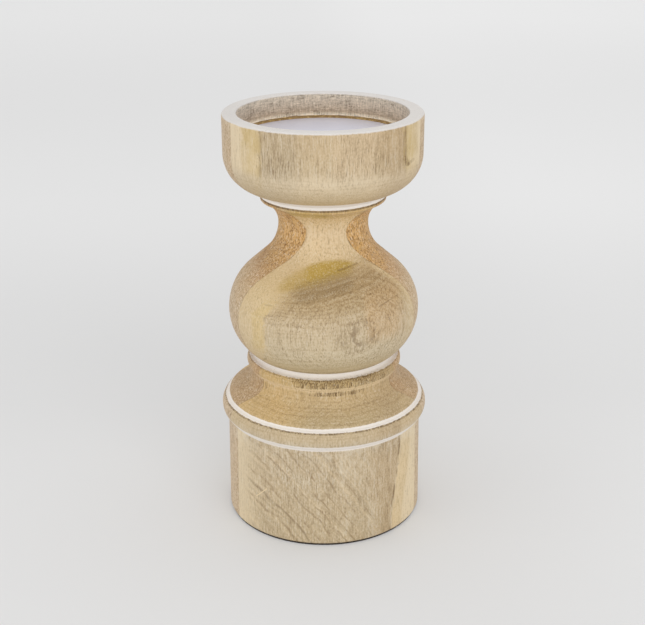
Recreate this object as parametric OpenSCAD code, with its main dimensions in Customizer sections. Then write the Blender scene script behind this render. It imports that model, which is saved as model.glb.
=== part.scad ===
// Turned wooden candlestick for a pillar candle.
// The body is one laminated blank: three boards glued face to face, then turned on a lathe.
// A loose metal plate lies in the recess of the cup and a felt pad covers the underside.
// Millimetres. Origin at the centre of the felt's underside, +Z up along the turning axis.
// The glue planes are parallel to the XZ plane, so the front board faces -Y.

/* [Overall] */
// Height from the table to the rim
total_h = 215; // [213:0.5:219]

/* [Cup] */
// Outer diameter of the cup
cup_d = 99.6; // [99:0.2:102]
// Height of the straight part of the cup's side
cup_side_h = 20; // [18:0.5:21]
// Radius of the curve under the cup's side
cup_curve_r = 18.5; // [17:0.5:19]
// Slope of the cup's underside below the curve, in degrees
cup_underside_slope = 26; // [22:1:28]
// Radius worked on the rim's outer edge
rim_round_r = 1.2; // [0.6:0.1:2]
// Bevel worked on the recess's top edge
recess_bevel = 0.4; // [0.2:0.1:1]

/* [Candle recess] */
// Diameter of the recess
recess_d = 85; // [82:0.5:87]
// Depth from the rim to the wood that the plate lies on
recess_depth = 14; // [12:0.5:16]
// Height of the undercut round the foot of the recess
undercut_h = 2.7; // [2:0.1:3.5]
// Radial depth of the undercut
undercut_w = 0.8; // [0.3:0.1:1.2]

/* [Neck and bulb] */
// Diameter of the white fillet between the cup and the neck
fillet_d = 64.8; // [63:0.2:66]
// Height of that fillet
fillet_h = 2.8; // [2:0.2:3.2]
// Slant of the fillet's side, as the radius lost towards its foot
fillet_slant = 0.6; // [0:0.1:0.8]
// Thinnest diameter of the neck
neck_d = 45.6; // [44.6:0.2:47]
// Height of the thinnest point above the table
neck_z = 159; // [158.5:0.5:160]
// Radius of the cove above the thinnest point
neck_upper_cove_r = 13; // [12:0.5:13.5]
// Slope of the straight flank between the neck and the bulb, in degrees
flank_slope = 41.5; // [39:0.5:44]
// Widest diameter of the bulb
bulb_d = 98; // [95:0.5:100]
// Height of the widest point above the table
bulb_z = 113.5; // [113:0.5:114]
// Radius of the bulb's curve above its widest point
bulb_upper_r = 28.5; // [27.5:0.5:29.5]
// Radius of the bulb's curve below its widest point
bulb_lower_r = 28.5; // [28:0.5:30]

/* [Base mouldings] */
// Height of the bulb's lower end above the table
bulb_foot_z = 90.2; // [89.8:0.1:90.6]
// Diameter of the groove between the bulb and the bead
groove_d = 73; // [72.4:0.2:73.4]
// Radius of the small white cove moulded above the bead and above the collar
small_cove_r = 1.6; // [1.2:0.1:1.7]
// Diameter of the bead under the bulb
bead_d = 80.6; // [79.6:0.2:81.6]
// Height of the bead's middle above the table
bead_z = 84.8; // [84.6:0.1:85]
// Height of the bead
bead_h = 6.4; // [6:0.1:6.8]
// Radius of the bead's face
bead_face_r = 4.6; // [4:0.1:5.5]
// Diameter of the throat under the bead
throat_d = 76.8; // [76:0.2:78]
// Height of the throat above the table
throat_z = 78.8; // [78:0.2:80]
// Radius of the throat's cove
throat_cove_r = 8; // [7:0.5:8.5]
// Slope of the flared shoulder below the throat, in degrees
shoulder_slope = 32; // [30:1:33]
// Diameter of the shoulder's lower edge
shoulder_d = 100; // [99:0.2:100.4]
// Diameter of the collar at its widest
collar_d = 108; // [107:0.5:109]
// Height of the collar's widest point above the table
collar_z = 60.2; // [60:0.1:60.6]
// Radius of the collar's face
collar_face_r = 6.5; // [6.4:0.1:8]
// Height of the collar's top edge above the table
collar_top_z = 65.2; // [64.8:0.1:65.6]

/* [Drum] */
// Height of the drum's top edge above the table
drum_top_z = 55.2; // [54.6:0.1:55.8]
// Diameter of the drum at its top
drum_top_d = 101.6; // [100:0.2:103]
// Diameter of the drum at its foot
drum_foot_d = 102.8; // [101:0.2:105]
// Bevel round the foot of the drum
drum_foot_bevel = 0.5; // [0.2:0.1:1]

/* [Boards] */
// Thickness of the middle board between its two glue planes
middle_board_t = 41; // [40:0.5:44]

/* [Candle plate] */
// Diameter of the loose metal plate
plate_d = 84; // [80:0.5:84.5]
// Thickness of the plate
plate_t = 1.2; // [0.8:0.1:1.6]
// Radius on the plate's top edge
plate_edge_r = 0.4; // [0.2:0.1:0.6]

/* [Base pad] */
// Thickness of the felt pad
pad_t = 1.2; // [1:0.1:2]
// How far the pad stays inside the drum's foot
pad_inset = 0.7; // [0.5:0.1:3]

/* [Hidden] */
$fn = 180;

pale_wood = [0.83, 0.73, 0.56];
tan_wood = [0.76, 0.62, 0.45];
plate_grey = [0.76, 0.76, 0.78];
felt_brown = [0.16, 0.13, 0.11];

// Overlap that makes neighbouring curves cross where they would only touch.
lap = 0.01;

cup_r = cup_d / 2;
recess_r = recess_d / 2;
neck_r = neck_d / 2;
bulb_r = bulb_d / 2;
bead_r = bead_d / 2;
throat_r = throat_d / 2;
groove_r = groove_d / 2;
shoulder_r = shoulder_d / 2;
collar_r = collar_d / 2;

// Cup: the curve is tangent to the side and runs on as a cone down to the fillet.
cup_curve_z = total_h - cup_side_h;
cup_curve_x = cup_r - cup_curve_r;
cup_curve_end = [
    cup_curve_x + (cup_curve_r - lap) * sin(cup_underside_slope),
    cup_curve_z - (cup_curve_r - lap) * cos(cup_underside_slope)
];
fillet_r = fillet_d / 2;
fillet_top_z = cup_curve_end[1] - (cup_curve_end[0] - fillet_r) * tan(cup_underside_slope);
fillet_foot_z = fillet_top_z - fillet_h;
fillet_foot_r = fillet_r - fillet_slant;

// Bulb and neck: a straight flank is tangent to the bulb's upper curve and to the neck's lower cove.
bulb_upper_x = bulb_r - bulb_upper_r;
bulb_lower_x = bulb_r - bulb_lower_r;
neck_dx = neck_r - bulb_upper_x;
neck_dz = neck_z - bulb_z;
neck_lower_cove_r = (neck_dx * sin(flank_slope) + neck_dz * cos(flank_slope) - bulb_upper_r)
    / (1 - sin(flank_slope));
neck_cove_x = neck_r + neck_lower_cove_r;
flank_low = [
    bulb_upper_x + (bulb_upper_r - lap) * sin(flank_slope),
    bulb_z + (bulb_upper_r - lap) * cos(flank_slope)
];
flank_high = [
    neck_cove_x - (neck_lower_cove_r - lap) * sin(flank_slope),
    neck_z - (neck_lower_cove_r - lap) * cos(flank_slope)
];

// Base mouldings: a straight slope leaves the throat's cove and ends at the shoulder's edge.
bead_top_z = bead_z + bead_h / 2;
bead_foot_z = bead_z - bead_h / 2;
throat_x = throat_r + throat_cove_r;
slope_start = [
    throat_x - (throat_cove_r - lap) * sin(shoulder_slope),
    throat_z - (throat_cove_r - lap) * cos(shoulder_slope)
];
shoulder_edge_z = slope_start[1] - (shoulder_r - slope_start[0]) * tan(shoulder_slope);
shoulder_top_z = slope_start[1] + (slope_start[0] - throat_r) * tan(shoulder_slope);
collar_x = collar_r - collar_face_r;

drum_top_r = drum_top_d / 2;
drum_foot_r = drum_foot_d / 2;
recess_floor_z = total_h - recess_depth;
slab_size = 2 * collar_d;
recess_clear = 5;

// Everything from the axis out to radius r, between two heights.
module band(r, z_low, z_high) {
    polygon([[0, z_low], [r, z_low], [r, z_high], [0, z_high]]);
}

// A band whose side bulges out as an arc of radius arc_r centred at [x, z].
module convex_band(x, z, arc_r, z_low, z_high) {
    band(x, z_low, z_high);
    intersection() {
        translate([x, z]) circle(r = arc_r);
        band(x + arc_r, z_low, z_high);
    }
}

// A band whose side is hollowed by an arc of radius arc_r centred at [x, z].
module concave_band(r, x, z, arc_r, z_low, z_high) {
    difference() {
        band(r, z_low, z_high);
        translate([x, z]) circle(r = arc_r);
    }
}

// A small cove that spreads from radius r at the top to a wider ledge at z_low.
module small_cove(r, z_low) {
    concave_band(r + small_cove_r, r + small_cove_r, z_low + small_cove_r, small_cove_r,
        z_low, z_low + small_cove_r);
}

module drum_outline() {
    polygon([
        [0, pad_t],
        [drum_foot_r - drum_foot_bevel, pad_t],
        [drum_foot_r, pad_t + drum_foot_bevel],
        [drum_top_r, drum_top_z],
        [0, drum_top_z]
    ]);
}

module collar_outline() {
    convex_band(collar_x, collar_z, collar_face_r, drum_top_z, collar_top_z);
    small_cove(shoulder_r, collar_top_z);
    band(shoulder_r, collar_top_z, shoulder_edge_z);
}

module shoulder_outline() {
    polygon([
        [0, shoulder_edge_z],
        [shoulder_r, shoulder_edge_z],
        [throat_r, shoulder_top_z],
        [0, shoulder_top_z]
    ]);
    concave_band(slope_start[0], throat_x, throat_z, throat_cove_r, shoulder_edge_z, throat_z);
    band(throat_r, throat_z, bead_foot_z);
}

module bead_outline() {
    convex_band(bead_r - bead_face_r, bead_z, bead_face_r, bead_foot_z, bead_top_z);
    small_cove(groove_r, bead_top_z);
    band(groove_r, bead_top_z, bulb_foot_z);
}

module bulb_outline() {
    convex_band(bulb_lower_x, bulb_z, bulb_lower_r, bulb_foot_z, bulb_z);
    convex_band(bulb_upper_x, bulb_z, bulb_upper_r, bulb_z, flank_low[1] + lap);
}

module neck_outline() {
    polygon([[0, flank_low[1]], flank_low, flank_high, [0, flank_high[1]]]);
    concave_band(flank_high[0], neck_cove_x, neck_z, neck_lower_cove_r,
        flank_high[1], neck_z);
    concave_band(fillet_foot_r, neck_r + neck_upper_cove_r, neck_z, neck_upper_cove_r,
        neck_z, fillet_foot_z);
}

module cup_outline() {
    polygon([
        [0, fillet_foot_z],
        [fillet_foot_r, fillet_foot_z],
        [fillet_r, fillet_top_z],
        cup_curve_end,
        [0, cup_curve_end[1]]
    ]);
    convex_band(cup_curve_x, cup_curve_z, cup_curve_r, fillet_top_z, cup_curve_z);
    band(cup_r, cup_curve_z, total_h - rim_round_r);
    convex_band(cup_r - rim_round_r, total_h - rim_round_r, rim_round_r,
        total_h - rim_round_r, total_h);
}

module recess_outline() {
    band(recess_r + undercut_w, recess_floor_z, recess_floor_z + undercut_h);
    band(recess_r, recess_floor_z, total_h + recess_clear);
    polygon([
        [0, total_h - recess_bevel],
        [recess_r, total_h - recess_bevel],
        [recess_r + recess_bevel + recess_clear, total_h + recess_clear],
        [0, total_h + recess_clear]
    ]);
}

module turned_blank() {
    rotate_extrude() difference() {
        union() {
            drum_outline();
            collar_outline();
            shoulder_outline();
            bead_outline();
            bulb_outline();
            neck_outline();
            cup_outline();
        }
        recess_outline();
    }
}

// The stretch of the turned blank that lies between two depths along Y.
module board(y_low, y_high) {
    intersection() {
        turned_blank();
        translate([-slab_size / 2, y_low, 0])
            cube([slab_size, y_high - y_low, total_h + recess_clear]);
    }
}

module front_board() {
    color(pale_wood) board(-slab_size / 2, -middle_board_t / 2);
}

module middle_board() {
    color(tan_wood) board(-middle_board_t / 2, middle_board_t / 2);
}

module back_board() {
    color(pale_wood) board(middle_board_t / 2, slab_size / 2);
}

module candle_plate() {
    color(plate_grey) translate([0, 0, recess_floor_z]) rotate_extrude() {
        band(plate_d / 2, 0, plate_t - plate_edge_r);
        convex_band(plate_d / 2 - plate_edge_r, plate_t - plate_edge_r, plate_edge_r,
            plate_t - plate_edge_r, plate_t);
    }
}

module base_felt() {
    color(felt_brown) cylinder(r = drum_foot_r - pad_inset, h = pad_t);
}

front_board();
middle_board();
back_board();
candle_plate();
base_felt();
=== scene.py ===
"""Looks of a turned wooden candlestick: three glued boards, a loose metal plate and a felt pad.

The boards are fine lathe meshes on the CAD model's outline, with softened edges and small signs of
the tool. Their colour is solid wood, painted by where each point lies in the board, so the figure
runs on over every moulding. All materials work in millimetres from the object's own origin.
"""

import math
from types import SimpleNamespace

import bpy
import bmesh
from mathutils import Matrix, Vector, noise


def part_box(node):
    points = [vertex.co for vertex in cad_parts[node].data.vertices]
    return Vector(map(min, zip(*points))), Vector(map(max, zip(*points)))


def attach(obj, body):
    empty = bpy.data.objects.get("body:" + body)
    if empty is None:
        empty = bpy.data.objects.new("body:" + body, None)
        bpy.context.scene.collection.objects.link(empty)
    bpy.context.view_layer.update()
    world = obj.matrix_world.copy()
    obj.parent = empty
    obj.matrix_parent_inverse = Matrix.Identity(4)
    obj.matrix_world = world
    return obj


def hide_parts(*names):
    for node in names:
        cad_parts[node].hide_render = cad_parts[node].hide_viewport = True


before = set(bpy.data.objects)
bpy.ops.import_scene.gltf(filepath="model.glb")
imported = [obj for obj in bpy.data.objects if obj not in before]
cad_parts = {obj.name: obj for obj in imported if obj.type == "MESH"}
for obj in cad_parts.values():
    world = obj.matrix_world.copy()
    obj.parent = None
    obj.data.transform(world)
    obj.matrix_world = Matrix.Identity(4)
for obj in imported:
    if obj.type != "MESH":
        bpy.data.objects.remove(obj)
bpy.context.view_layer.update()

MM = 0.001
FRONT, BACK = -1, 1

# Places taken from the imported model.
TOP_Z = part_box("middle_board")[1].z / MM
FOOT_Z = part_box("middle_board")[0].z / MM
GLUE_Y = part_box("middle_board")[1].y / MM
COLLAR_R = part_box("middle_board")[1].x / MM
PLATE_LOW, PLATE_HIGH = (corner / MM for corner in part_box("candle_plate"))
FELT_LOW, FELT_HIGH = (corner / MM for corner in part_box("base_felt"))
FLOOR_Z = PLATE_LOW.z

# Sizes of the turned outline, in millimetres.
CUP_R = 49.8
RECESS_R = 42.5
UNDERCUT_R = 43.3
UNDERCUT_TOP_Z = FLOOR_Z + 2.7
GROOVE_R = 36.5
SHOULDER_R = 50.0
COLLAR_TOP_Z = 65.2
DRUM_TOP_Z = 55.2
DRUM_TOP_R = 50.8
DRUM_FOOT_R = 51.4

# Arcs of the turned outline, as (distance of the centre from the axis, its height, radius).
RIM_ARC = (CUP_R - 1.2, TOP_Z - 1.2, 1.2)
CUP_UNDERSIDE_ARC = (CUP_R - 18.5, TOP_Z - 20, 18.5)
NECK_UPPER_ARC = (35.8, 159.0, 13.0)
NECK_LOWER_ARC = (43.85, 159.0, 21.05)
BULB_ARC = (20.5, 113.5, 28.5)
GROOVE_ARC = (GROOVE_R + 1.6, 89.6, 1.6)
BEAD_ARC = (35.7, 84.8, 4.6)
THROAT_ARC = (46.4, 78.8, 8.0)
STEP_ARC = (SHOULDER_R + 1.6, COLLAR_TOP_Z + 1.6, 1.6)
COLLAR_ARC = (COLLAR_R - 6.5, 60.2, 6.5)

# How finely the meshes are cut, in millimetres and in columns round each piece.
ROW_STEP = 0.7
FLAT_STEP = 2.5
OUTER_COLUMNS = 150
MIDDLE_COLUMNS = 60
PLATE_COLUMNS = 192
FELT_COLUMNS = 360

# Corners of the outline that turn by more than SOFT_CORNER degrees are worn off over SOFT_EDGE millimetres.
SOFT_CORNER = 20
SOFT_EDGE = 0.3

# Mesh edges that bend by more than this many degrees are shaded sharp.
SHARP_CORNER = 50

# Lengths below this, in millimetres, count as nothing.
TINY = 1e-6

# Wear of the turned skin, in millimetres, with a small nick in the middle board on the right of the bulb.
WIDE_WEAR = 0.05
FINE_WEAR = 0.03
NICK = (35.0, -2.0, 140.5)
NICK_DEPTH = 0.5
NICK_SIZE = 3.2


# ---------------------------------------------------------------- outline of the turned blank


def arc(centre_r, centre_z, radius, start, end):
    """Points on an arc of the outline, from one angle to another in degrees. 0 points outwards, 90 up."""
    steps = max(2, math.ceil(math.radians(abs(end - start)) * radius / ROW_STEP))
    angles = [math.radians(start + (end - start) * i / steps) for i in range(steps + 1)]
    return [(centre_r + radius * math.cos(a), centre_z + radius * math.sin(a)) for a in angles]


def outline():
    """The half outline as (radius, height), from the recess floor over the rim and down to the foot."""
    recess = [
        (UNDERCUT_R, FLOOR_Z),
        (UNDERCUT_R, UNDERCUT_TOP_Z),
        (RECESS_R, UNDERCUT_TOP_Z),
        (RECESS_R, TOP_Z - 0.4),
        (RECESS_R + 0.4, TOP_Z),
    ]
    rim = arc(*RIM_ARC, 90, 0)
    cup_underside = arc(*CUP_UNDERSIDE_ARC, 0, -64)
    fillet = [(32.4, 174.9), (32.0, 173.5), (31.75, 173.2), (31.8, 172.9)]
    neck = arc(*NECK_UPPER_ARC, 107.9, 180) + arc(*NECK_LOWER_ARC, 180, 228.5)[1:]
    bulb = arc(*BULB_ARC, 48.5, 0) + arc(*BULB_ARC, 0, -54.85)[1:]
    groove = [(GROOVE_R, 90.2)] + arc(*GROOVE_ARC, 180, 270)
    bead = arc(*BEAD_ARC, 44, -44)
    throat = [(38.4, 81.6)] + arc(*THROAT_ARC, 180, 238)
    step = [(SHOULDER_R, 67.12)] + arc(*STEP_ARC, 180, 270)
    collar = arc(*COLLAR_ARC, 50.3, -50.3)
    drum = [(DRUM_TOP_R, DRUM_TOP_Z), (DRUM_FOOT_R, FOOT_Z + 0.5), (DRUM_FOOT_R - 0.5, FOOT_Z)]
    return recess + rim + cup_underside + fillet + neck + bulb + groove + bead + throat + step + collar + drum


def softened(points):
    """The outline with each sharp corner worn to a small curve."""
    soft = [points[0]]
    for before, corner, after in zip(points, points[1:], points[2:]):
        a, b, c = Vector(before), Vector(corner), Vector(after)
        come, go = b - a, c - b
        if come.length < TINY or go.length < TINY:
            continue
        if come.angle(go) < math.radians(SOFT_CORNER):
            soft.append(corner)
            continue
        start = b - come.normalized() * min(SOFT_EDGE, 0.45 * come.length)
        end = b + go.normalized() * min(SOFT_EDGE, 0.45 * go.length)
        for t in (0, 0.25, 0.5, 0.75, 1):
            soft.append(tuple(start * (1 - t) ** 2 + b * (2 * t * (1 - t)) + end * t ** 2))
    return soft + [points[-1]]


def refined(points, step):
    """The same outline with no stretch longer than the step."""
    fine = [points[0]]
    for before, after in zip(points, points[1:]):
        a, b = Vector(before), Vector(after)
        count = max(1, math.ceil((b - a).length / step))
        fine += [tuple(a.lerp(b, i / count)) for i in range(1, count + 1)]
    return fine


# ---------------------------------------------------------------- wear


def roughly(place, size, seed):
    """Smooth noise from about -1 to 1, with features of the given size in millimetres."""
    return noise.noise(Vector(place) / size + Vector((seed, 2.3 * seed, -seed)))


def dent(place, centre, size):
    """1 at the centre of a small dent, falling to 0 at its edge."""
    return max(0.0, 1 - (Vector(place) - Vector(centre)).length / size) ** 2


def worn(r, z, angle):
    """Radius and height of a skin point after wear. Angle is measured round the axis from +X."""
    place = (r * math.cos(angle), r * math.sin(angle), z)
    if z <= FOOT_Z + 0.01 or z <= FLOOR_Z + 0.01 and r < RECESS_R + 1 and z > TOP_Z - 20:
        return r, z
    inwards = WIDE_WEAR * (1 + roughly(place, 9, 3)) + FINE_WEAR * (1 + roughly(place, 2.2, 5))
    inwards += NICK_DEPTH * dent(place, NICK, NICK_SIZE)
    if r < UNDERCUT_R + 0.1 and z > FLOOR_Z:
        lip = max(0.0, 1 - abs(z - UNDERCUT_TOP_Z) / 1.3)
        ragged = roughly(place, 1.6, 7) + 0.8 * roughly(place, 0.7, 11) + 0.5 * roughly(place, 6, 13)
        return r + 0.06 * ragged * lip, z + (0.5 * ragged - 0.6) * lip
    return r - inwards, z


# ---------------------------------------------------------------- meshes


def make_piece(name, points, faces, body, slot_name, *nodes):
    """A smooth mesh object from points in millimetres, riding on a body in place of its CAD nodes."""
    mesh = bpy.data.meshes.new(name)
    mesh.from_pydata([Vector(p) * MM for p in points], [], faces)
    shape = bmesh.new()
    shape.from_mesh(mesh)
    bmesh.ops.recalc_face_normals(shape, faces=shape.faces)
    shape.to_mesh(mesh)
    shape.free()
    mesh.shade_smooth()
    mesh.set_sharp_from_angle(angle=math.radians(SHARP_CORNER))
    piece = bpy.data.objects.new(name, mesh)
    bpy.context.scene.collection.objects.link(piece)
    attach(piece, body)
    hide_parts(*nodes)
    return piece


def flat_rows(r, z, inner_r):
    """Rings of a flat face at one height, from radius r inwards, r itself left out."""
    count = math.ceil((r - inner_r) / FLAT_STEP)
    return [(r + (inner_r - r) * (i + 1) / count, z) for i in range(count)]


def outer_board(name, side, columns):
    """The front or back board: the blank's skin beyond one glue plane, closed by a flat glue face."""
    skin = refined(softened(outline()), ROW_STEP)
    floor = flat_rows(*skin[0], GLUE_Y)[::-1]
    foot = flat_rows(*skin[-1], GLUE_Y)
    rows = floor + skin + foot
    points, grid = [], []
    for r, z in rows:
        if r <= GLUE_Y + TINY:
            points.append((0, side * GLUE_Y, z))
            grid.append([len(points) - 1] * (columns + 1))
            continue
        first = len(points)
        reach = math.acos(GLUE_Y / r)
        for column in range(columns + 1):
            across = 2 * column / columns - 1
            worn_r, worn_z = worn(r, z, side * (math.pi / 2 - across * reach))
            turn = across * math.acos(GLUE_Y / worn_r)
            points.append((worn_r * math.sin(turn), side * worn_r * math.cos(turn), worn_z))
        grid.append(list(range(first, first + columns + 1)))
    faces = []
    for upper, lower in zip(grid, grid[1:]):
        for c in range(columns):
            corners = [upper[c], upper[c + 1], lower[c + 1], lower[c]]
            faces.append(list(dict.fromkeys(corners)))
    left = [row[0] for row in grid]
    right = [row[-1] for row in grid]
    faces.append(left + right[-2:0:-1])
    return make_piece(name + "_turned", points, faces, "turned_body", "outer_board_wood", name)


def middle_board(name, columns):
    """The board between the glue planes: one closed section in each plane along Y, joined to the next."""
    skin = refined(softened(outline()), ROW_STEP)
    floor_r, foot_r = skin[0][0], skin[-1][0]
    floor_count = math.ceil(2 * floor_r / FLAT_STEP)
    foot_count = math.ceil(2 * foot_r / FLAT_STEP)
    points, grid = [], []
    for column in range(columns + 1):
        across = 2 * column / columns - 1
        right, left = [], []
        for r, z in skin:
            turn = across * math.asin(GLUE_Y / r)
            for side, chain in ((1, right), (-1, left)):
                worn_r, worn_z = worn(r, z, turn if side > 0 else math.pi - turn)
                turned = across * math.asin(GLUE_Y / worn_r)
                chain.append((side * worn_r * math.cos(turned), worn_r * math.sin(turned), worn_z))
        floor = between(left[0], right[0], floor_count)
        foot = between(right[-1], left[-1], foot_count)
        section = floor + right + foot + left[::-1]
        grid.append(list(range(len(points), len(points) + len(section))))
        points += section
    faces = [grid[0], grid[-1][::-1]]
    for near, far in zip(grid, grid[1:]):
        for i in range(len(near)):
            j = (i + 1) % len(near)
            faces.append([near[i], near[j], far[j], far[i]])
    return make_piece(name + "_turned", points, faces, "turned_body", "middle_board_wood", name)


def between(start, end, count):
    """Evenly spaced points between two points, both left out."""
    a, b = Vector(start), Vector(end)
    return [tuple(a.lerp(b, i / count)) for i in range(1, count)]


def revolved(name, rows, segments, shift, body, slot_name):
    """A closed disc from its half outline. Shift moves a point at (radius, height, angle) a little."""
    points, grid = [], []
    for r, z in rows:
        if r == 0:
            points.append((0, 0, z))
            grid.append([len(points) - 1] * segments)
            continue
        first = len(points)
        for i in range(segments):
            angle = 2 * math.pi * i / segments
            moved_r, moved_z = shift(r, z, angle)
            points.append((moved_r * math.cos(angle), moved_r * math.sin(angle), moved_z))
        grid.append(list(range(first, first + segments)))
    faces = []
    for upper, lower in zip(grid, grid[1:]):
        for i in range(segments):
            j = (i + 1) % segments
            corners = [upper[i], upper[j], lower[j], lower[i]]
            faces.append(list(dict.fromkeys(corners)))
    return make_piece(name + "_disc", points, faces, body, slot_name, name)


def candle_plate():
    """A thin spun disc with a rounded top edge and a barely dished face."""
    edge_r, low, high = PLATE_HIGH.x, PLATE_LOW.z, PLATE_HIGH.z
    top_rings, under_rings = 28, 8
    edge_round, edge_steps = 0.4, 5
    under_edge = 0.1
    dish_depth = 0.04
    rows = [(0, high)] + [(edge_r * i / top_rings, high) for i in range(1, top_rings)]
    for i in range(edge_steps + 1):
        turn = math.radians(90 / edge_steps * i)
        rows.append((edge_r - edge_round + edge_round * math.sin(turn),
                     high - edge_round + edge_round * math.cos(turn)))
    rows += [(edge_r, low + under_edge), (edge_r - under_edge, low)]
    rows += [(edge_r * (1 - i / under_rings), low) for i in range(1, under_rings)] + [(0, low)]

    def dished(r, z, angle):
        if z < high - 0.01:
            return r, z
        place = (r * math.cos(angle), r * math.sin(angle), z)
        return r, z - dish_depth * (1 + roughly(place, 24, 17))

    return revolved("candle_plate", rows, PLATE_COLUMNS, dished, "plate", "plate_metal")


def base_felt():
    """The felt pad: flat faces and a soft, slightly uneven cut edge."""
    edge_r, low, high = FELT_HIGH.x, FELT_LOW.z, FELT_HIGH.z
    rings = 12
    cut_in, cut_down = 0.15, 0.3
    rows = [(0, high)] + [(edge_r * i / rings, high) for i in range(1, rings)]
    rows += [(edge_r - cut_in, high), (edge_r, high - cut_down)]
    rows += [(edge_r, low + cut_down), (edge_r - cut_in, low)]
    rows += [(edge_r * (1 - i / rings), low) for i in range(1, rings)] + [(0, low)]

    def cut(r, z, angle):
        place = (r * math.cos(angle), r * math.sin(angle), z)
        ragged = max(0.0, r / edge_r - 0.97) / 0.03
        return r - ragged * cut_in * (1 + roughly(place, 1.3, 19)), z

    return revolved("base_felt", rows, FELT_COLUMNS, cut, "turned_body", "base_felt")


# ---------------------------------------------------------------- node graphs


def tone(red, green, blue):
    """A colour given as display values from 0 to 255, turned into the linear colour that shaders use."""
    linear = [((v / 255 + 0.055) / 1.055) ** 2.4 for v in (red, green, blue)]
    return (*linear, 1.0)


class Field:
    """A number that varies over a surface. It adds and multiplies like an ordinary number."""

    def __init__(self, graph, socket):
        self.graph = graph
        self.socket = socket

    def __add__(self, other):
        return self.graph.math("ADD", self, other)

    def __sub__(self, other):
        return self.graph.math("SUBTRACT", self, other)

    def __rsub__(self, other):
        return self.graph.math("SUBTRACT", other, self)

    def __mul__(self, other):
        return self.graph.math("MULTIPLY", self, other)

    def __truediv__(self, other):
        return self.graph.math("DIVIDE", self, other)

    def __abs__(self):
        return self.graph.math("ABSOLUTE", self)

    __radd__ = __add__
    __rmul__ = __mul__


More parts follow.
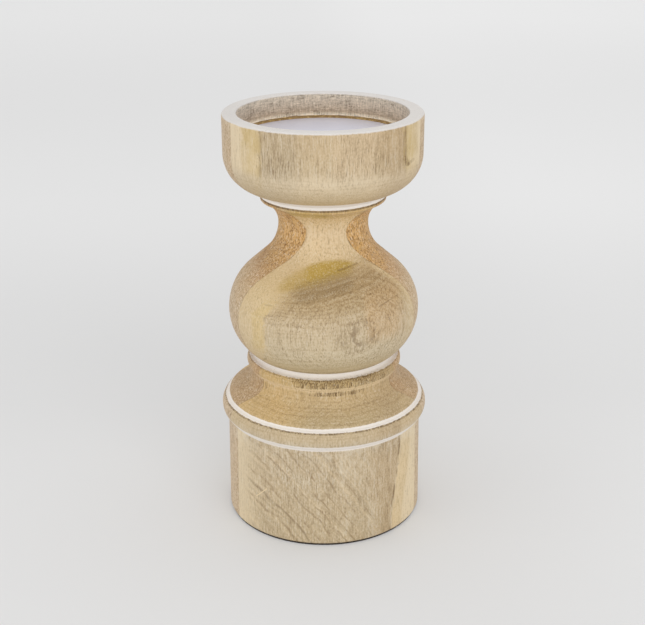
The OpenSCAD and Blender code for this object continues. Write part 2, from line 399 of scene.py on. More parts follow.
class Graph:
    """The node graph of one material. Places are in millimetres from the object's own origin."""

    def __init__(self, name):
        self.material = bpy.data.materials.new(name)
        self.material.use_nodes = True
        self.tree = self.material.node_tree
        self.tree.nodes.clear()
        metres = self.node("ShaderNodeTexCoord").outputs["Object"]
        self.place = self.shade(metres, 1 / MM)
        parts = self.node("ShaderNodeSeparateXYZ", {0: self.place})
        self.x, self.y, self.z = (Field(self, socket) for socket in parts.outputs)
        self.radius = self.math("SQRT", self.x * self.x + self.y * self.y)

    def node(self, kind, inputs=None, **settings):
        """A new node with its settings and inputs. An input is a number, a colour, a socket or a Field."""
        node = self.tree.nodes.new(kind)
        for key, value in settings.items():
            setattr(node, key, value)
        for key, value in (inputs or {}).items():
            value = value.socket if isinstance(value, Field) else value
            if isinstance(value, bpy.types.NodeSocket):
                self.tree.links.new(value, node.inputs[key])
            else:
                node.inputs[key].default_value = value
        return node

    def math(self, operation, a, b=0.0, c=0.0):
        """The result of one of the renderer's own arithmetic steps."""
        return Field(self, self.node("ShaderNodeMath", {0: a, 1: b, 2: c}, operation=operation).outputs[0])

    def smooth(self, value, low, high):
        """0 at low, 1 at high, with a soft start and end. Low may be above high."""
        inputs = {"Value": value, "From Min": low, "From Max": high}
        ranged = self.node("ShaderNodeMapRange", inputs, interpolation_type="SMOOTHSTEP")
        return Field(self, ranged.outputs[0])

    def between(self, value, low, high, feather):
        """1 from low to high, falling to 0 over the feather on either side."""
        return self.smooth(value, low - feather, low) * self.smooth(value, high + feather, high)

    def noise(self, size, seed, detail=2.0, roughness=0.5):
        """Smooth noise from about -1 to 1. Size is the features' length along X, Y and Z."""
        inputs = {0: self.place, 1: tuple(1 / s for s in size), 2: (seed * 7.3, seed * 3.1, seed * -5.7)}
        shifted = self.node("ShaderNodeVectorMath", inputs, operation="MULTIPLY_ADD").outputs[0]
        inputs = {"Vector": shifted, "Scale": 1.0, "Detail": detail, "Roughness": roughness}
        return self.centred(self.node("ShaderNodeTexNoise", inputs))

    def spots(self, size, seed, share, reach=0.42):
        """Scattered spots, 1 in their middle. Size is each spot's room, share the part of rooms with one."""
        inputs = {0: self.place, 1: tuple(1 / s for s in size), 2: (seed * 4.1, seed * -6.3, seed * 2.9)}
        shifted = self.node("ShaderNodeVectorMath", inputs, operation="MULTIPLY_ADD").outputs[0]
        cells = self.node("ShaderNodeTexVoronoi", {"Vector": shifted, "Scale": 1.0})
        lot = Field(self, self.node("ShaderNodeSeparateXYZ", {0: cells.outputs["Color"]}).outputs[0])
        chosen = self.smooth(share - lot, 0.0, 0.12)
        return self.smooth(Field(self, cells.outputs["Distance"]), reach, reach * 0.45) * chosen

    def layers(self, distance, size, seed, detail=2.0):
        """Noise from about -1 to 1 that changes only with a distance, such as from ring to ring."""
        inputs = {"W": distance / size + seed * 13.7, "Scale": 1.0, "Detail": detail, "Roughness": 0.55}
        return self.centred(self.node("ShaderNodeTexNoise", inputs, noise_dimensions="1D"))

    def centred(self, noise_node):
        """The noise node's value, spread from about -1 to 1 instead of crowding round a half."""
        return (Field(self, noise_node.outputs["Fac"]) - 0.5) * 3

    def mix(self, first, second, amount):
        """The first colour where amount is 0, the second where it is 1."""
        return self.node("ShaderNodeMix", {0: amount, 6: first, 7: second}, data_type="RGBA").outputs[2]

    def shade(self, colour, factor):
        """The colour, or any three numbers, times a factor."""
        colour = colour[:3] if isinstance(colour, tuple) else colour
        return self.node("ShaderNodeVectorMath", {0: colour, "Scale": factor}, operation="SCALE").outputs[0]

    def grained(self, colour, amount):
        """The colour turned brown where the amount is below 0 and lime-white where it is above."""
        colour = self.mix(colour, BROWN_GRAIN, amount * -1.35)
        return self.mix(colour, LIME, amount * 1.2)

    def ramp(self, value, low, high, stops):
        """A colour read from (value, colour) stops."""
        inputs = {0: (value - low) / (high - low)}
        node = self.node("ShaderNodeValToRGB", inputs)
        marks = node.color_ramp.elements
        while len(marks) < len(stops):
            marks.new(0.5)
        for mark, (at, colour) in zip(marks, stops):
            mark.position = (at - low) / (high - low)
            mark.color = tone(*colour)
        return node.outputs["Color"]

    def stroke(self, start, end, width):
        """1 along a straight mark on the front, seen from -Y, given by its (x, z) ends."""
        run, rise = end[0] - start[0], end[1] - start[1]
        across, up = self.x - start[0], self.z - start[1]
        along = self.math("MULTIPLY", across * run + up * rise, 1 / (run * run + rise * rise))
        along = self.math("MINIMUM", self.math("MAXIMUM", along, 0.0), 1.0)
        off_x, off_z = across - along * run, up - along * rise
        distance = self.math("SQRT", off_x * off_x + off_z * off_z)
        return self.smooth(distance, width, width * 0.3) * self.smooth(self.y, 0, -6)

    def finish(self, colour, roughness, height, depth, specular=0.35, **fixed):
        """Closes the graph with one surface. Height is the relief from 0 to 1, depth its size in metres."""
        bump = self.node("ShaderNodeBump", {"Height": height, "Distance": depth, "Strength": 1.0})
        inputs = {"Base Color": colour, "Roughness": roughness, "Normal": bump.outputs[0]}
        inputs.update({"Specular IOR Level": specular, **fixed})
        surface = self.node("ShaderNodeBsdfPrincipled", inputs)
        self.node("ShaderNodeOutputMaterial", {"Surface": surface.outputs[0]})
        return self.material


# ---------------------------------------------------------------- wood

PORE = tone(112, 84, 48)
DEEP_PORE = tone(84, 62, 28)
BROWN_GRAIN = tone(112, 86, 54)
LIME = tone(230, 220, 200)
PAINT = tone(244, 237, 229)
RIM_PAINT = tone(220, 216, 212)
GLUE_LINE = tone(122, 98, 66)
# Painted shade for the creases under the step, round the groove and under the fillet.
CREASE_SHADE = tone(92, 68, 34)
BEAD_FOOT = tone(232, 208, 168)
RECESS_DIRT = tone(104, 82, 54)
RECESS_LIME = tone(244, 234, 216)
UNDERCUT = tone(186, 154, 106)
UNDERCUT_GLINT = tone(236, 208, 142)
ALUMINIUM = tone(221, 221, 233)
FELT = tone(44, 34, 26)

# Depth of each skin's relief, in metres.
WOOD_RELIEF = 0.0002
METAL_RELIEF = 0.00004
FELT_RELIEF = 0.0003
FLOOR_RELIEF = 0.00002

# Colours of the outer boards' stains and marks.
WARM_HEART = tone(180, 152, 114)
GREY_HEART = tone(178, 162, 136)
LIT_HEART = tone(216, 192, 158)
OLIVE = tone(182, 150, 62)
YELLOW_EDGE = tone(206, 178, 112)
DRUM_GOLD = tone(200, 170, 116)
SHOULDER_GOLD = tone(212, 176, 114)
NECK_OLIVE = tone(186, 156, 78)
HEART_BORDER = tone(132, 106, 68)
SWIRL_TAN = tone(200, 160, 108)
GROWTH_LINE = tone(126, 98, 62)
DARK_DUST = tone(108, 80, 48)
KNOT = tone(118, 92, 58)
PALE_SCRATCH = tone(230, 208, 168)

# Colours of the middle board's stains and marks.
THROAT_BROWN = tone(182, 150, 108)
BROWN_CLOUD = tone(166, 126, 82)
GOLDEN_CLOUD = tone(216, 172, 100)
ORANGE_PORE = tone(110, 72, 34)
PALE_FLECK = tone(232, 206, 166)
NICK_SHADOW = tone(98, 78, 58)

# Colours of the recess wall, as (height in millimetres, display colour).
RECESS_TONES = (
    (203.0, (244, 234, 216)), (204.2, (222, 206, 180)), (205.4, (178, 158, 134)),
    (209.5, (192, 176, 156)), (214.5, (200, 188, 170)),
)

# Colours up the outer boards, as (height in millimetres, display colour).
SAPWOOD_TONES = (
    (0, (224, 204, 169)), (53, (224, 205, 171)), (63, (208, 186, 148)), (77, (209, 180, 131)),
    (82, (224, 196, 148)), (87, (214, 184, 132)), (91, (208, 184, 140)), (113, (214, 191, 152)),
    (136, (208, 182, 136)), (159, (222, 196, 156)), (170, (214, 181, 126)), (180, (206, 182, 142)),
    (191, (226, 206, 172)), (214, (224, 204, 170)),
)
HEARTWOOD_TONES = (
    (0, (192, 172, 138)), (46, (194, 174, 142)), (63, (188, 168, 136)), (68, (176, 155, 115)),
    (77, (190, 163, 119)), (82, (202, 177, 134)), (86, (172, 144, 92)), (94, (194, 175, 137)),
    (104, (203, 185, 152)), (119, (198, 177, 143)), (129, (179, 153, 111)), (141, (176, 147, 102)),
    (159, (220, 193, 150)), (172, (206, 172, 116)), (181, (200, 177, 138)), (191, (216, 197, 166)),
    (198, (201, 179, 144)), (214, (199, 175, 138)),
)

# Colours of the middle board, as (millimetres out from its middle plane, display colour).
MIDDLE_TONES = (
    (20, (206, 162, 100)), (27, (202, 160, 102)), (33, (194, 157, 112)), (41, (200, 172, 134)),
    (50, (204, 180, 148)), (54, (206, 182, 152)),
)

# Heights where the slanted growth lines of the drum would cross the middle of the blank, in millimetres.
GROWTH_LINES = (-59.0, -51.0, -44.0, -33.6, -27.0, -20.4, -12.0, -3.0, 7.0)

# The knot on the bulb and the wide swirl round it, as (x, z) in millimetres.
KNOT_EYE = (16.5, 114.6)
SWIRL_EYE = (24.0, 117.0)

# Marks on the front, as (x, z) ends, half width in millimetres and strength.
MARKS = (
    ((24.7, 126.4), (29.5, 127.6), 0.40, 0.55),
    ((29.5, 127.6), (34.7, 128.2), 0.34, 0.45),
    ((-31.0, 122.3), (-25.5, 122.8), 0.36, 0.40),
    ((-31.0, 126.9), (-27.0, 127.3), 0.36, 0.30),
    ((5.0, 142.5), (14.8, 144.1), 0.55, 0.60),
    ((36.0, 211.0), (36.4, 199.0), 1.50, 0.35),
    ((36.4, 199.0), (38.0, 195.6), 1.50, 0.55),
    ((38.0, 195.6), (41.0, 196.6), 1.20, 0.40),
)

# A pale scratch low on the drum: (x, z) ends and half width.
SCRATCH = ((-37.6, 21.5), (-32.4, 28.0), 0.35)


def paint_mask(g):
    """Where white paint lies: the rim, the fillet, the groove, the step and the line over the drum."""
    edge = g.noise((1.6, 1.6, 0.8), 31, 3) * 0.2 + g.noise((9, 9, 9), 32) * 0.12
    z = g.z + edge
    rim = g.smooth(z, 214.0, 214.6)
    fillet = g.between(z, 173.55, 177.7, 0.35)
    groove = g.between(z, 88.0, 90.2, 0.3)
    step = g.between(z, 65.0, 66.05, 0.35)
    line = g.between(z, 54.4, 57.2, 0.7)
    outside = g.smooth(g.radius, 42.3, 42.7) + g.smooth(g.z, 195, 190)
    return g.math("MINIMUM", rim * outside + fillet + groove + step + line, 1.0)


def recess_wood(g, speckle, scratches, patches):
    """The bare, rough wall of the recess: grey-brown, paler in its lip over the undercut."""
    wall = g.ramp(g.z + speckle * 0.8, 203, 215, RECESS_TONES)
    wall = g.shade(wall, 1.04 + speckle * 0.28 + scratches * 0.30 + patches * 0.14)
    rough = g.noise((1.0, 1.0, 0.5), 49, 3, 0.7) + scratches * 0.4
    wall = g.mix(wall, RECESS_DIRT, g.smooth(rough + patches * 0.35, -0.25, -0.8) * 0.6)
    return g.mix(wall, RECESS_LIME, g.smooth(rough, 0.35, 0.8) * 0.6)


def dressed(g, colour, pores, fibres):
    """Wood turned into the finished skin: glue lines, lime, recess wall, painted shade in the creases and
    paint.
    """
    speckle = g.noise((0.8, 0.8, 0.8), 41, 2)
    patches = g.noise((7, 7, 5), 42, 2)
    scratches = g.noise((4, 4, 0.6), 45, 2) + g.noise((0.7, 0.7, 4), 46, 2)

    glue_gap = abs(abs(g.y) - GLUE_Y)
    glue = g.smooth(glue_gap, 0.35, 0.05) * g.smooth(g.noise((6, 6, 6), 43), -0.5, 0.5)
    colour = g.mix(colour, GLUE_LINE, glue * 0.5)

    haze = g.smooth(g.z, 44, 54.3) * g.smooth(g.z, 62, 57) * g.smooth(patches + fibres + speckle, -0.6, 0.9)
    colour = g.mix(colour, LIME, haze * 0.42)
    bead_foot = g.between(g.z, 81.0, 82.9, 0.6) * g.smooth(fibres + speckle, -0.9, 0.2)
    colour = g.mix(colour, BEAD_FOOT, bead_foot * 0.75)

    # Painted shade in the creases under the step, round the groove and under the fillet, broken up by the
    # grain.
    broken = g.smooth(g.noise((1.2, 1.2, 6), 44, 2) + speckle * 0.5, -0.6, 0.5)
    crease_shade = g.between(g.z, 64.3, 64.9, 0.4) + g.between(g.z, 87.3, 87.9, 0.3) * 0.6
    crease_shade = crease_shade + g.between(g.z, 90.5, 92.0, 0.8) * 0.4
    crease_shade = crease_shade * broken + g.between(g.z, 172.5, 173.3, 0.35) * (0.55 + broken * 0.45)
    colour = g.mix(colour, CREASE_SHADE, crease_shade * 0.8)

    inside = g.smooth(g.radius, 43.0, 42.7) * g.smooth(g.z, 202.5, 203.3)
    colour = g.mix(colour, recess_wood(g, speckle, scratches, patches), inside)
    undercut = g.smooth(g.radius, 43.6, 43.4) * g.between(g.z, 200.5, 203.3, 0.3)
    glints = g.smooth(g.noise((2.5, 2.5, 1), 50, 2), -0.2, 0.8)
    colour = g.mix(colour, g.mix(UNDERCUT, UNDERCUT_GLINT, glints), undercut)

    paint = paint_mask(g)
    # The rim paint is a little darker on the left: painted shade.
    rim_white_shaded_left = g.shade(RIM_PAINT, 1 - g.smooth(g.x, -30, -50) * 0.05)
    white = g.mix(g.shade(PAINT, 0.94 + g.smooth(g.z, 100, 170) * 0.08), rim_white_shaded_left, g.smooth(g.z, 200, 210))
    worn_paint = g.smooth(pores + g.smooth(speckle + patches, 0.5, 1.2), 0.2, 1.4)
    white = g.shade(white, 1 + speckle * 0.03 + patches * 0.02)
    colour = g.mix(colour, white, paint * (0.97 - worn_paint * 0.5))
    height = (0.5 + fibres * 0.12 + speckle * 0.08 - pores * 0.3) * (1 - paint * 0.75) + paint * 0.5
    height = height + inside * (scratches + speckle) * 0.25 - glue * 0.2
    roughness = 0.62 + pores * 0.15 + speckle * 0.04 - paint * 0.1
    return g.finish(colour, roughness, height, WOOD_RELIEF)


def near_value(g, value, targets, width):
    """1 where a value lies within the width of any target, fading towards the width."""
    total = 0.0
    for target in targets:
        total = g.smooth(abs(value - target), width, width * 0.25) + total
    return g.math("MINIMUM", total, 1.0)


# ---------------------------------------------------------------- the outer boards' wood


def outer_wood(name):
    """The outer boards: pale sapwood round a grey-brown heart that faces outwards."""
    g = Graph(name)
    wood = grain_fields(g)
    add_heart(g, wood)
    colour = heart_and_sapwood(g, wood)
    colour = olive_and_gold(g, wood, colour)
    colour = heart_border(g, wood, colour)
    colour = grain_figure(g, wood, colour)
    colour = growth_lines(g, wood, colour)
    colour = pores_and_flecks(g, wood, colour)
    colour = knot_and_swirl(g, wood, colour)
    for start, end, width, strength in MARKS:
        stroke = g.stroke(start, end, width) * g.smooth(wood.fine + wood.grains, -0.8, 0.3)
        colour = g.mix(colour, PORE, stroke * strength)
    colour = g.mix(colour, PALE_SCRATCH, g.stroke(*SCRATCH) * 0.8)
    return dressed(g, colour, wood.pores, wood.fibres)


def grain_fields(g):
    """The fields that every step of the outer boards' colour shares. Later steps add their own to them."""
    wood = SimpleNamespace()
    wood.depth = abs(g.y)
    wood.facing = g.smooth(g.y, -20, -40)
    wood.x = g.x + g.noise((10, 10, 30), 1) * 0.9
    wood.z = g.z
    wood.streaks = g.noise((0.9, 0.9, 16), 9, 3)
    wood.fine = g.noise((0.7, 0.7, 5), 10, 2)
    wood.grains = g.noise((0.8, 0.8, 1.1), 21, 2)
    wood.blotches = g.noise((14, 14, 22), 11, 2)
    wood.fibres = wood.streaks * 0.6 + wood.fine * 0.5
    return wood


def add_heart(g, wood):
    """Adds the heart, 1 inside it, and the parts of the board where its edge is soft or blended away."""
    x, z = wood.x, wood.z
    corner_cut = g.math("MAXIMUM", z - 121, 0.0) * g.smooth(z, 170, 155) * 0.9
    left = x + 33.0 - g.between(z, 98, 140, 6) + g.smooth(z, 95, 50) * 8 - corner_cut
    right = 37.0 - x - g.smooth(z, 52, 5) * 4.5 + g.between(z, 100, 140, 12) * 3
    wood.across_rings = wood.depth + x * 0.29 - 30.4 + g.noise((9, 9, 14), 2)
    wood.slope = z - x * 0.2
    upper = 140.8 - wood.slope + g.smooth(x, 12, 24) * 3 + g.smooth(z, 166, 176) * 120
    wood.heart_edge = g.math("SMOOTH_MIN", g.math("SMOOTH_MIN", left, right, 1.5), upper, 4.0)
    wood.under_cup = g.between(z, 174, 190, 6)
    mouldings = g.between(z, 60, 92, 5)
    wood.drum_left = g.smooth(z, 56, 50) * g.smooth(x, -15, -30)
    wood.on_bulb = g.between(z, 92, 145, 4)
    ragged_edge = wood.heart_edge + (wood.fibres * 2.0 + wood.grains * 1.6) * (1 + wood.on_bulb * 1.2)
    softness = wood.drum_left * 7 + wood.on_bulb * g.smooth(x, 0, 20) * 4 + g.between(z, 128, 150, 5) * 6
    softness = softness + wood.on_bulb * g.smooth(z, 112, 98) * 4
    heart = g.smooth(ragged_edge, -0.7 - softness, 1.2 + softness)
    wood.blend = g.math("MINIMUM", wood.under_cup * 0.8 + mouldings * 0.75, 1.0)
    heart = heart + (0.65 - heart) * wood.blend
    feather_edge = g.smooth(wood.depth, 25, 21.5) * g.between(z, 108, 140, 5) * g.smooth(x, 5, 20)
    wood.heart = heart * (1 - feather_edge * 0.8)


def heart_and_sapwood(g, wood):
    """The colours of the two woods up the board, then the warm, grey and paler sides of the heart."""
    x, z = wood.x, wood.z
    sapwood = g.ramp(z, 0, 215, SAPWOOD_TONES)
    heartwood = g.ramp(z, 0, 215, HEARTWOOD_TONES)
    colour = g.mix(sapwood, heartwood, wood.heart)
    warm = g.smooth(x + g.noise((8, 8, 40), 3) * 7, 14, 30) * (1 - wood.on_bulb * 0.9)
    wood.grey = g.smooth(x + g.noise((8, 8, 40), 4) * 5, -10, -20) * g.smooth(z, 150, 180)
    lit = g.between(g.x + g.noise((6, 6, 30), 22) * 6, 4, 20, 6) * g.smooth(z, 190, 200)
    colour = g.mix(colour, WARM_HEART, warm * wood.heart * 0.42)
    colour = g.mix(colour, GREY_HEART, wood.grey * wood.heart * 0.4)
    return g.mix(colour, LIT_HEART, lit * wood.heart * 0.45)


def olive_and_gold(g, wood, colour):
    """Olive stain over the heart and along its edge, and golden wood on the bulb, drum and shoulder."""
    x, z, heart_edge = wood.x, wood.z, wood.heart_edge
    soft_edge = heart_edge + g.noise((5, 5, 8), 23, 2) * 1.5
    olive = g.between(soft_edge, -6.0, 0.0, 2.4) * (1 - wood.blend) * g.smooth(z, 60, 100)
    under_arch = 146.8 - (x - 3.0) * (x - 3.0) * 0.0145 - z + wood.grains * 0.7
    over_heart = wood.slope + wood.grains * 0.7 + wood.blotches * 0.5
    top_patch = g.smooth(under_arch, -0.8, 1.2) * g.smooth(over_heart, 139.4, 141.4)
    top_patch = top_patch * g.between(x, -6, 12, 8)
    left_patch = g.smooth(under_arch, -1.0, 2.0) * g.smooth(over_heart, 137.0, 139.5)
    left_patch = left_patch * g.between(x, -22, 9, 6)
    olive = olive * 0.5 * (1 - g.between(z, 90, 160, 6)) * g.smooth(g.noise((12, 12, 16), 5), -1.0, 0.4)
    olive = olive + top_patch * 0.5 + left_patch * 0.52
    colour = g.mix(colour, OLIVE, g.math("MINIMUM", olive, 0.9))
    yellow = g.between(heart_edge, -4.5, -0.8, 1.5) * g.between(z, 106, 124, 8) * g.smooth(x, -18, -28)
    colour = g.mix(colour, YELLOW_EDGE, yellow * 0.4)
    drum_gold = g.between(heart_edge, -5.5, -0.8, 1.5) * g.smooth(x, 15, 25) * g.smooth(z, 54, 48)
    colour = g.mix(colour, DRUM_GOLD, drum_gold * 0.4)
    shoulder_gold = g.between(z, 67, 88, 3) * g.smooth(x + wood.blotches * 8, -10, -28)
    colour = g.mix(colour, SHOULDER_GOLD, shoulder_gold * 0.55)
    neck_spot = g.between(z, 169, 171, 2) * g.between(x, -16, -2, 5)
    return g.mix(colour, NECK_OLIVE, neck_spot * 0.6)


def heart_border(g, wood, colour):
    """The dark line round the heart, the darker band across the bulb, painted fill light on the drum and the
    tan side of the swirl.
    """
    x, z, on_bulb = wood.x, wood.z, wood.on_bulb
    border = g.smooth(abs(wood.heart_edge - 0.6), 0.8, 0.15) * g.smooth(g.noise((4, 4, 9), 6, 2), -0.3, 0.4)
    drum_right = g.smooth(z, 54, 48) * g.smooth(x, 20, 28)
    border = border * (1 - g.smooth(z, 119, 126) * on_bulb) * (1 - wood.blend) * (1 - wood.drum_left)
    border = border * (0.6 + drum_right * 0.5)
    border = border * (1 - on_bulb * g.smooth(x, -5, 5))
    colour = g.mix(colour, HEART_BORDER, g.math("MINIMUM", border, 0.9))
    wood.dark_band = g.between(wood.slope + wood.blotches * 1.5, 135, 139, 4) * g.between(x, -13, 8, 9)
    # The darker band across the bulb is the wood's own; the small lift on the drum below the collar is
    # painted fill light.
    colour = g.shade(colour, 1.005 - wood.dark_band * wood.heart * 0.19 + g.smooth(z, 54, 50) * 0.025)
    swirl_side = g.between(x + wood.blotches * 3, 22, 33, 6) * g.between(z, 114, 130, 8)
    return g.mix(colour, SWIRL_TAN, swirl_side * 0.4)


def grain_figure(g, wood, colour):
    """Brown and pale figure: growth rings, fibres, lines left by turning and level lines on the bulb."""
    x, z, heart, on_bulb = wood.x, wood.z, wood.heart, wood.on_bulb
    rings = g.layers(wood.across_rings + g.noise((14, 14, 40), 7) * 1.5, 1.7, 8, 3)
    tilt = 0.06 + g.smooth(z, 122, 134) * 0.14
    level = g.layers(z - x * tilt + g.noise((20, 20, 12), 25) * 1.2, 1.5, 26, 3)
    level = level * on_bulb * g.math("MAXIMUM", g.smooth(x, 25, -5), g.smooth(z, 126, 134)) * heart
    turned_zone = g.between(z, 62, 88, 2) + g.between(z, 176, 191, 3) * 0.7
    turned = g.layers(z + g.noise((20, 20, 8), 28) * 0.6, 0.9, 29, 2) * turned_zone
    hairs = g.noise((0.5, 0.5, 6), 35, 3, 0.6)
    colour = g.shade(colour, 1 + wood.blotches * 0.06)
    figure = rings * (0.03 + heart * 0.10) + wood.streaks * 0.11 + wood.fine * 0.15
    figure = figure + wood.grains * 0.20 + hairs * 0.22
    lines = g.math("MINIMUM", level * 0.24 + turned * 0.18, 0.03)
    bands = g.layers(x + g.noise((7, 7, 50), 36) * 1.5, 3.2, 37, 3) * g.smooth(z, 144, 156)
    bands = bands * (1 - wood.under_cup * 0.8)
    lively = 1.35 - g.smooth(z, 165, 185) * 0.35 - wood.under_cup * 0.15 + on_bulb * g.smooth(x, 2, 20) * 0.6
    lively = lively + g.between(z, 146, 168, 3) * 0.5
    lively = lively * (0.7 + heart * 0.3)
    lively = lively * (1 - g.between(z, 90, 96, 2) * 0.5 - g.between(z, 56, 66, 1) * 0.3)
    figure = figure * lively + bands * 0.09 + g.smooth(z, 185, 195) * wood.streaks * 0.08
    figure = g.math("MINIMUM", figure, 0.28 - on_bulb * heart * 0.14)
    return g.grained(colour, figure + lines)


def growth_lines(g, wood, colour):
    """The slanted, broken growth lines across the front of the drum."""
    x, z = wood.x, wood.z
    slant = x * 1.4 + wood.depth * -0.76 + z + g.noise((14, 14, 14), 12, 2) * 2.5
    slant = slant + g.noise((3, 3, 3), 24, 2) * 0.7
    wood.on_drum = g.smooth(z, 55.5, 52) * g.smooth(x, 27, 20) * g.smooth(x, -44, -38)
    breaks = g.smooth(g.noise((6, 6, 8), 14, 2), -0.45, 0.1)
    growth = near_value(g, slant, GROWTH_LINES, 1.2) * breaks * g.smooth(wood.grains + wood.fine, -0.7, 0.3)
    colour = g.mix(colour, GROWTH_LINE, growth * wood.on_drum * 0.55)
    return g.shade(colour, 1 + g.layers(slant, 3.2, 15, 3) * wood.on_drum * 0.16)


def pores_and_flecks(g, wood, colour):
    """Dark pores, thickest on the bead and in the throat, and flecks of lime."""
    x, z, heart = wood.x, wood.z, wood.heart
    on_bead = g.between(z, 83.6, 87.8, 0.8) * g.smooth(abs(x - 5), 34, 16)
    throat = g.between(z, 78.8, 80.6, 0.8) * g.smooth(abs(x - 3), 20, 6)
    cup_foot = g.between(z, 196, 202, 4)
    crowd = g.noise((9, 9, 12), 17, 2) * 0.15 + heart * 0.10 + on_bead * 0.4 + throat * 0.4
    crowd = crowd + wood.dark_band * 0.3
    crowd = crowd + cup_foot * 0.12 + wood.grey * heart * 0.15
    pore_field = g.noise((0.42, 0.42, 4.5), 16, 2, 0.6) * 0.9
    pores = g.smooth(pore_field + crowd, 0.34, 0.8)
    pores = pores + g.spots((1.1, 1.0, 0.9), 20, on_bead * 0.6 + throat * 0.6)
    pores = g.math("MINIMUM", pores, 1.0) * (0.4 + heart * 0.6) * (1 - wood.under_cup * 0.4)
    colour = g.mix(colour, PORE, pores * (0.55 + on_bead * 0.3 + throat * 0.3))
    colour = g.mix(colour, DEEP_PORE, pores * (on_bead + throat) * 0.5)
    dust = g.spots((0.85, 0.85, 0.9), 26, g.between(z, 120, 140, 5) * heart * 0.5) * wood.facing
    colour = g.mix(colour, DARK_DUST, dust * 0.45)
    limed = g.between(z, 98, 124, 4) * 0.14
    limed = limed + wood.on_drum * g.between(z, 34, 44, 5) * g.between(x, -26, 4, 8) * 0.3
    limed = limed + g.noise((8, 8, 8), 30) * 0.1 - g.between(z, 124, 142, 4) * 0.15
    lime_field = g.noise((0.42, 0.42, 3.0), 18, 2, 0.6)
    flecks = g.smooth(lime_field + limed, 0.36, 0.85) + g.spots((0.9, 0.9, 0.8), 22, on_bead * 0.12)
    wood.pores = pores
    return g.mix(colour, LIME, g.math("MINIMUM", flecks, 1.0) * 0.5)


def knot_and_swirl(g, wood, colour):
    """The small knot on the bulb, with curved grain close round it and in a wider swirl."""
    x, z, grains = wood.x, wood.z, wood.grains
    off_x, off_z = x - KNOT_EYE[0], (z - KNOT_EYE[1]) * 1.15
    from_eye = g.math("SQRT", off_x * off_x + off_z * off_z) + g.noise((2, 2, 2), 19, 2) * 1.4 + grains * 0.5
    crescent = g.between(from_eye, 5.2, 6.2, 1.0) * g.smooth(off_x + off_z * 0.3, 0.0, -5) * wood.facing
    wide_x, wide_z = x - SWIRL_EYE[0], (z - SWIRL_EYE[1]) * 0.9
    from_swirl = g.math("SQRT", wide_x * wide_x + wide_z * wide_z) + g.noise((3, 3, 3), 33, 3) * 2.0
    halo = g.layers(from_eye, 1.8, 20, 2) * g.smooth(from_eye, 14, 6) * wood.facing
    halo = halo + g.layers(from_swirl, 1.5, 34, 2) * g.smooth(from_swirl, 22, 10) * wood.facing
    colour = g.mix(colour, KNOT, crescent * g.smooth(wood.fibres + grains, -0.9, 0.1) * 0.65)
    return g.grained(colour, g.math("MINIMUM", halo * (0.17 + grains * 0.12), 0.05))


# ---------------------------------------------------------------- the middle board's wood


def middle_wood(name):
    """The middle board: pinkish tan, orange-brown towards the axis, with short dark pores."""
    g = Graph(name)
    x, z = g.x, g.z
    out = abs(x) + g.noise((9, 9, 26), 51) * 1.6
    streaks = g.noise((1.0, 1.0, 14), 54, 3)
    fine = g.noise((0.7, 0.7, 3.5), 55, 2)
    grains = g.noise((0.8, 0.8, 1.1), 59, 2)
    blotches = g.noise((12, 12, 18), 56, 2)
    fibres = streaks * 0.6 + fine * 0.5
    colour = g.ramp(out, 18, 54, MIDDLE_TONES)
    colour = g.mix(colour, THROAT_BROWN, g.between(z, 67, 80, 3) * 0.7)
    upper_neck = g.between(z, 157, 168, 4)
    left_flank = g.between(z, 118, 150, 8) * g.smooth(x, 10, -10)
    colour = g.shade(colour, 1.02 - g.smooth(x, 10, -10) * 0.03 + upper_neck * 0.07 - left_flank * 0.05)
    right_neck = 1 + g.smooth(x, 0, 12) * g.between(z, 140, 168, 5) * 0.04
    # The small lift on the drum below the collar is painted fill light.
    colour = g.shade(colour, right_neck + g.smooth(z, 54, 50) * 0.03)
    rings = g.layers(out + z * 0.35 + g.noise((16, 16, 30), 52) * 3, 2.2, 53, 3)
    colour = g.shade(colour, 1 + blotches * 0.08)
    colour = g.grained(colour, rings * 0.10 + streaks * 0.22 + fine * 0.36 + grains * 0.52 + 0.015)
    near_neck = g.smooth(out, 38, 27)
    brown = g.smooth(g.noise((8, 8, 10), 57), 0.0, 0.8) * g.smooth(out, 48, 36)
    brown = brown + g.between(z, 67, 80, 2) * g.smooth(rings + streaks, 0.0, 0.9) * 0.8
    colour = g.mix(colour, BROWN_CLOUD, g.math("MINIMUM", brown, 1.0) * 0.5)
    golden = g.smooth(g.noise((5, 5, 9), 64), 0.1, 0.8) * near_neck
    colour = g.mix(colour, GOLDEN_CLOUD, golden * 0.55)
    pore_field = g.noise((0.5, 0.5, 2.2), 58, 2, 0.6) + near_neck * 0.18 + g.noise((8, 8, 10), 61) * 0.1
    pores = g.smooth(pore_field, 0.32, 0.7) + g.spots((0.9, 0.9, 2.0), 62, near_neck * 0.3)
    pores = g.math("MINIMUM", pores, 1.0)
    colour = g.mix(colour, ORANGE_PORE, pores * 0.8)
    glints = g.smooth(g.noise((0.5, 0.5, 2.0), 60, 2, 0.6) + near_neck * 0.12, 0.34, 0.75)
    colour = g.mix(colour, PALE_FLECK, glints * 0.5)
    nick_x, nick_z = NICK[0], NICK[2]
    nick = g.smooth(abs(x - nick_x) + abs(z - nick_z + (x - nick_x) * 0.8) * 2.5, 2.4, 0.6)
    colour = g.mix(colour, NICK_SHADOW, nick * g.smooth(g.y, 6, 2) * 0.8)
    return dressed(g, colour, pores, fibres)


# ---------------------------------------------------------------- metal and felt


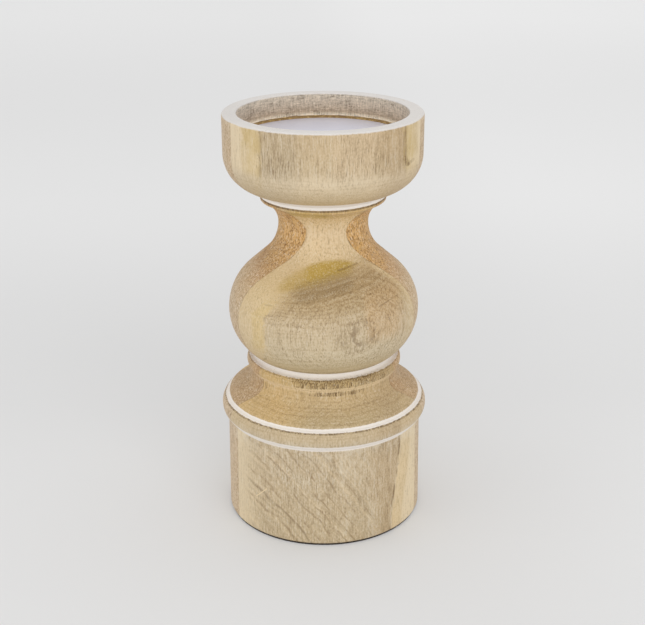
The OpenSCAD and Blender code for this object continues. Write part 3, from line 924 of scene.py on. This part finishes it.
def plate_metal(name):
    """Spun aluminium with a matt skin, a little cloudy."""
    g = Graph(name)
    cloud = g.noise((26, 26, 26), 61, 2)
    turned = g.layers(g.radius, 0.9, 62, 2)
    grain = g.noise((0.5, 0.5, 0.5), 63, 2)
    colour = g.shade(ALUMINIUM, 1 + cloud * 0.02 + grain * 0.01)
    roughness = 0.42 + cloud * 0.05 + turned * 0.03
    height = 0.5 + turned * 0.12 + grain * 0.08
    return g.finish(colour, roughness, height, METAL_RELIEF, 0.5, Metallic=0.3)


def felt_cloth(name):
    """Dark wool felt with pressed fibres."""
    g = Graph(name)
    fibres = g.noise((0.25, 0.25, 0.25), 71, 3, 0.7)
    tufts = g.noise((1.4, 1.4, 1.4), 72, 2)
    colour = g.shade(FELT, 1 + fibres * 0.35 + tufts * 0.25)
    height = 0.5 + fibres * 0.3 + tufts * 0.2
    return g.finish(colour, 0.95 + fibres * 0.03, height, FELT_RELIEF, 0.15, **{"Sheen Weight": 0.3})


# ---------------------------------------------------------------- the pieces

outer = outer_wood("outer_board_wood")
inner = middle_wood("middle_board_wood")
finished = [
    (outer_board("front_board", FRONT, OUTER_COLUMNS), outer),
    (outer_board("back_board", BACK, OUTER_COLUMNS), outer),
    (middle_board("middle_board", MIDDLE_COLUMNS), inner),
    (candle_plate(), plate_metal("plate_metal")),
    (base_felt(), felt_cloth("base_felt")),
]
for piece, material in finished:
    piece.data.materials.append(material)


# ---------------------------------------------------------------- studio

FLOOR_GLOW = 0.12
FLOOR_TONE = tone(206, 206, 206)
FLOOR_HALF_SIZE = 3.0
FAR_GLOW = 0.69
NEAR_GLOW = 0.18
RIGHT_GLOW = 0.3
WORLD_STRENGTH = 0.74
WHITE = (1, 1, 1, 1)

# The photograph's camera: metres from the axis and above the table, then degrees.
CAMERA_DISTANCE = 0.5982
CAMERA_HEIGHT = 0.3443
CAMERA_AROUND = -4.0
CAMERA_ASIDE = 0.055
CAMERA_PITCH = 21.49
CAMERA_ROLL = -0.245

# The camera's focal length and sensor width, in millimetres.
LENS = 68.91
SENSOR_WIDTH = 36.0

# The soft lights, as (name, place in metres, size in metres, power in watts).
LIGHTS = (
    ("front_softbox", (0.35, -1.6, 0.9), 1.6, 10),
    ("top_softbox", (0.1, 0.2, 1.8), 1.6, 4),
    ("left_softbox", (-1.6, -0.5, 0.5), 1.2, 4),
)


def studio_floor(half_size):
    """A plain pale floor that glows a little, as a lit sweep does, so that shadows stay soft."""
    mesh = bpy.data.meshes.new("floor")
    corners = [(-1, -1, 0), (1, -1, 0), (1, 1, 0), (-1, 1, 0)]
    mesh.from_pydata([Vector(c) * half_size for c in corners], [], [(0, 1, 2, 3)])
    g = Graph("floor_paint")
    colour = g.shade(FLOOR_TONE, 1 + g.noise((400, 400, 400), 81) * 0.01)
    far = g.smooth(g.y, 150, 620) + g.smooth(g.y, 900, 2000)
    near = g.smooth(g.y, 140, 40)
    glow = FLOOR_GLOW * (1 + far * FAR_GLOW + near * NEAR_GLOW + g.smooth(g.x, 60, 260) * RIGHT_GLOW)
    emission = {"Emission Color": WHITE, "Emission Strength": glow.socket}
    height = 0.5 + g.noise((3, 3, 3), 82) * 0.1
    material = g.finish(colour, 0.9, height, FLOOR_RELIEF, 0.1, **emission)
    mesh.materials.append(material)
    floor = bpy.data.objects.new("floor", mesh)
    bpy.context.scene.collection.objects.link(floor)


def soft_light(name, place, target, size, power):
    """A large square area light that faces a target."""
    data = bpy.data.lights.new(name, "AREA")
    data.size = size
    data.energy = power
    light = bpy.data.objects.new(name, data)
    light.location = place
    light.rotation_euler = (Vector(target) - Vector(place)).to_track_quat("-Z", "Y").to_euler()
    bpy.context.scene.collection.objects.link(light)


def studio_camera():
    """The photograph's camera, looking down by about 21 degrees and held a touch out of level."""
    data = bpy.data.cameras.new("camera")
    data.sensor_width = SENSOR_WIDTH
    data.lens = LENS
    camera = bpy.data.objects.new("camera", data)
    angles = (CAMERA_AROUND, CAMERA_ASIDE, CAMERA_PITCH, CAMERA_ROLL)
    around, aside, pitch, roll = (math.radians(angle) for angle in angles)
    place = Vector((CAMERA_DISTANCE * math.sin(around), -CAMERA_DISTANCE * math.cos(around), CAMERA_HEIGHT))
    aim = Matrix.Rotation(around + aside, 4, "Z") @ Matrix.Rotation(math.pi / 2 - pitch, 4, "X")
    camera.matrix_world = Matrix.Translation(place) @ aim @ Matrix.Rotation(roll, 4, "Z")
    bpy.context.scene.collection.objects.link(camera)
    bpy.context.scene.camera = camera


world = bpy.data.worlds.new("studio")
world.use_nodes = True
world.node_tree.nodes["Background"].inputs["Color"].default_value = WHITE
world.node_tree.nodes["Background"].inputs["Strength"].default_value = WORLD_STRENGTH
bpy.context.scene.world = world
bpy.context.scene.view_settings.view_transform = "Standard"
middle_of_part = (0, 0, TOP_Z * MM / 2)
for light_name, light_place, light_size, light_power in LIGHTS:
    soft_light(light_name, light_place, middle_of_part, light_size, light_power)
studio_floor(FLOOR_HALF_SIZE)
studio_camera()
